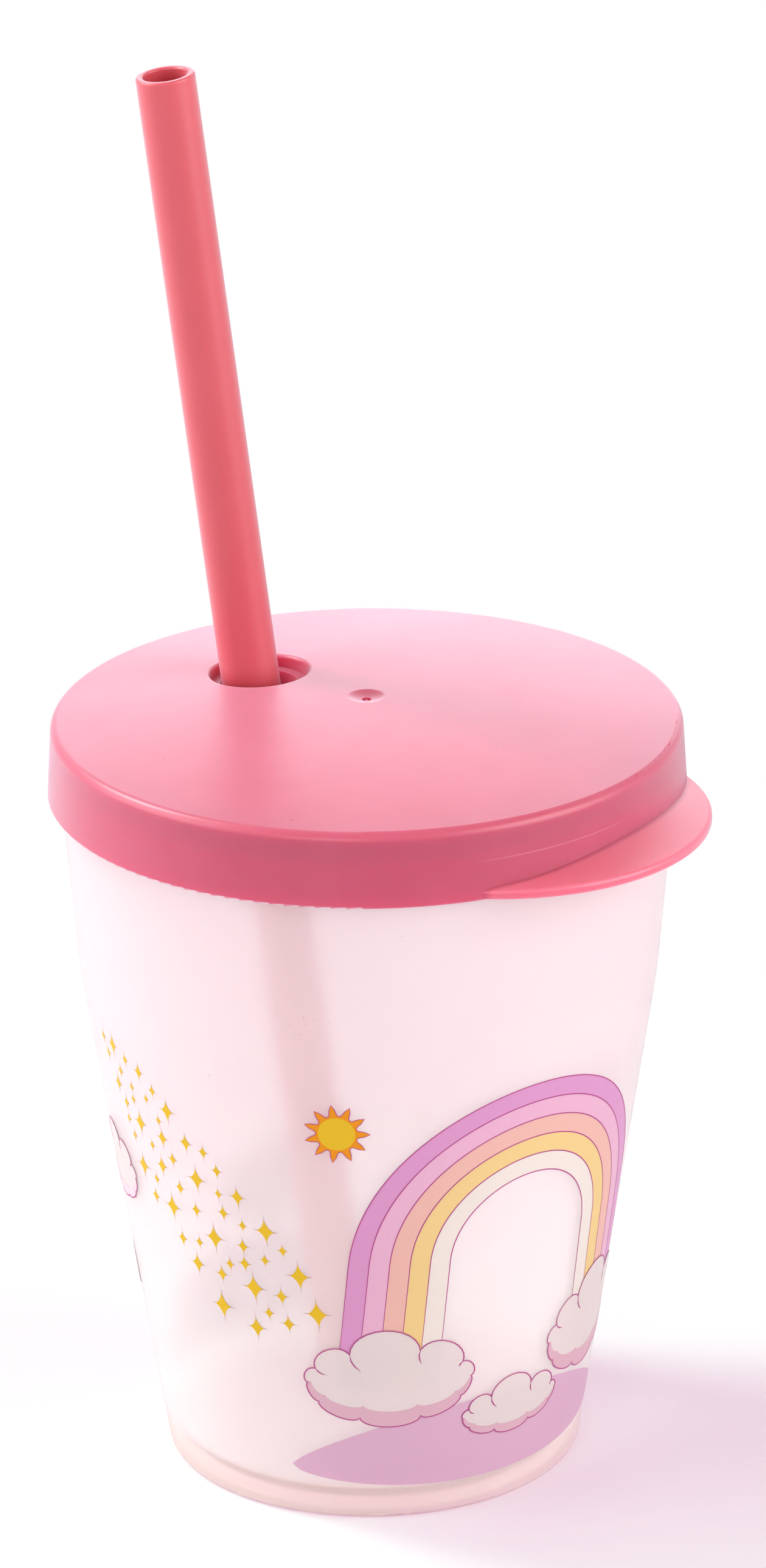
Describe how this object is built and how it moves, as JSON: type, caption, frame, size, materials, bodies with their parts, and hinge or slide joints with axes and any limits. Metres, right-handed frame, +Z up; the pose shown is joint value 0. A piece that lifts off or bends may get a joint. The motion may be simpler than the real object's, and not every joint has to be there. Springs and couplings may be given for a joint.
{
  "type": "kids tumbler with lid and straw",
  "caption": "Frosted tapered children's tumbler with a push-on lid, a crescent thumb tab and a thick reusable straw leaning in an offset hole.",
  "frame": {"origin": "centre of the cup's foot circle, on the cup's axis, at the height it stands on", "axes": "+Z up the cup's axis; -Y towards whoever faces the printed front; +X to their right; the thumb tab points 35 degrees from +X towards -Y, and the straw leans towards -X"},
  "size_m": [0.1032, 0.1, 0.2238],
  "materials": {
    "cup_frosted": "frosted translucent polypropylene",
    "lid_pink": "satin moulded polyethylene",
    "straw_pink": "satin extruded polypropylene"
  },
  "bodies": {
    "cup": {"cup": "cup_frosted"},
    "lid": {"lid": "lid_pink"},
    "straw": {"straw": "straw_pink"}
  },
  "joints": [
    {"name": "lid_lift", "type": "slide", "parent": "cup", "child": "lid", "axis": [0, 0, 1], "range_m": [0, 0.13]},
    {"name": "straw_pull", "type": "slide", "parent": "lid", "child": "straw", "axis": [-0.1154, -0.0091, 0.9933], "range_m": [0, 0.13]}
  ]
}
